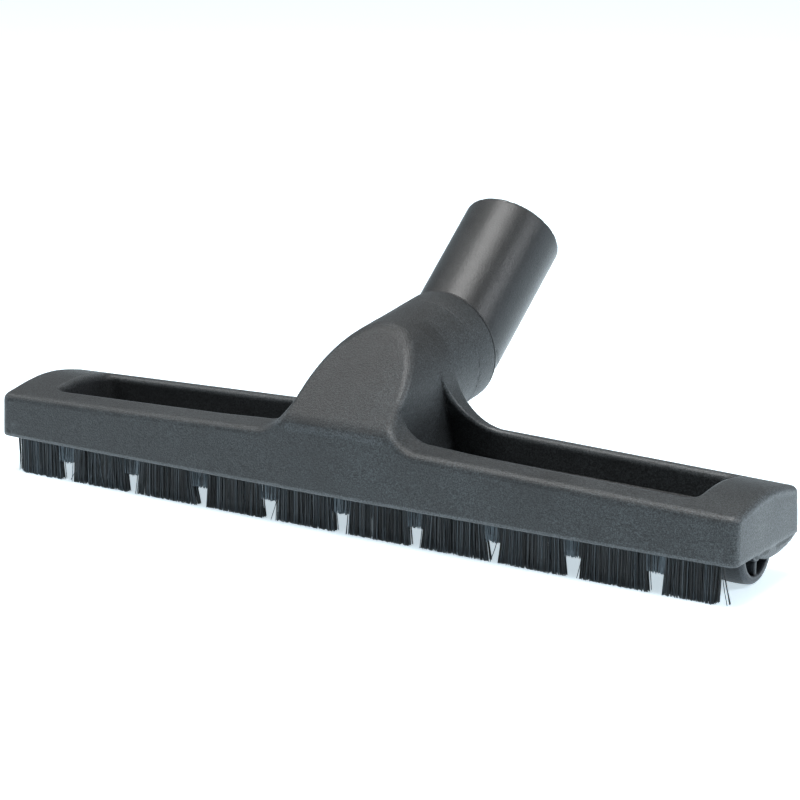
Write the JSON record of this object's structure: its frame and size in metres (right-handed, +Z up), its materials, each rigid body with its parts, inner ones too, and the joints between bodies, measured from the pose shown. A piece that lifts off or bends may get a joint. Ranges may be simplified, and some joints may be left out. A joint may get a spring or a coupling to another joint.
{
  "type": "hard floor vacuum nozzle",
  "caption": "Long hard-floor suction nozzle with brush strips below, end wheels, two open troughs on top and a free-turning bent neck tube.",
  "frame": {"origin": "middle of the whole box seen from above, at the height of the bristle tips on the floor", "axes": "+X along the nozzle, +Y back towards the neck, +Z up"},
  "size_m": [0.32, 0.1402, 0.1076],
  "materials": {
    "housing_plastic": "fine spark-eroded grain, slightly polished edges",
    "sole_plastic": "moulded, lightly scuffed",
    "strip_plastic": "extruded, smooth",
    "bristle": "black nylon filaments with a soft sheen",
    "ring_plastic": "satin moulded",
    "tube_plastic": "satin, smoother than the housing",
    "wheel_plastic": "moulded, matte tread",
    "pin_steel": "drawn wire",
    "screw_steel": "dark zinc plated",
    "seal_rubber": "smooth, greased"
  },
  "bodies": {
    "head": {"housing": "housing_plastic", "sole_plate": "sole_plastic", "front_strip_back": "strip_plastic", "rear_strip_back": "strip_plastic", "front_bristles": "bristle", "rear_bristles": "bristle", "lock_ring": "ring_plastic", "wheel_pin_left": "pin_steel", "wheel_pin_right": "pin_steel", "sole_screw_1": "screw_steel", "sole_screw_2": "screw_steel", "sole_screw_3": "screw_steel", "sole_screw_4": "screw_steel", "sole_screw_5": "screw_steel", "sole_screw_6": "screw_steel", "sole_screw_7": "screw_steel", "sole_screw_8": "screw_steel"},
    "neck": {"elbow_tube": "tube_plastic", "seal_ring": "seal_rubber"},
    "left_wheel": {"wheel_left": "wheel_plastic"},
    "right_wheel": {"wheel_right": "wheel_plastic"}
  },
  "joints": [
    {"name": "neck_swivel", "type": "hinge", "parent": "head", "child": "neck", "pos_m": [0, 0.0087, 0.056], "axis": [0, 0.9903, 0.1392], "continuous": true},
    {"name": "left_wheel_spin", "type": "hinge", "parent": "head", "child": "left_wheel", "pos_m": [-0.14795, -0.0379, 0.0132], "axis": [1, 0, 0], "continuous": true},
    {"name": "right_wheel_spin", "type": "hinge", "parent": "head", "child": "right_wheel", "pos_m": [0.14795, -0.0379, 0.0132], "axis": [1, 0, 0], "continuous": true}
  ]
}
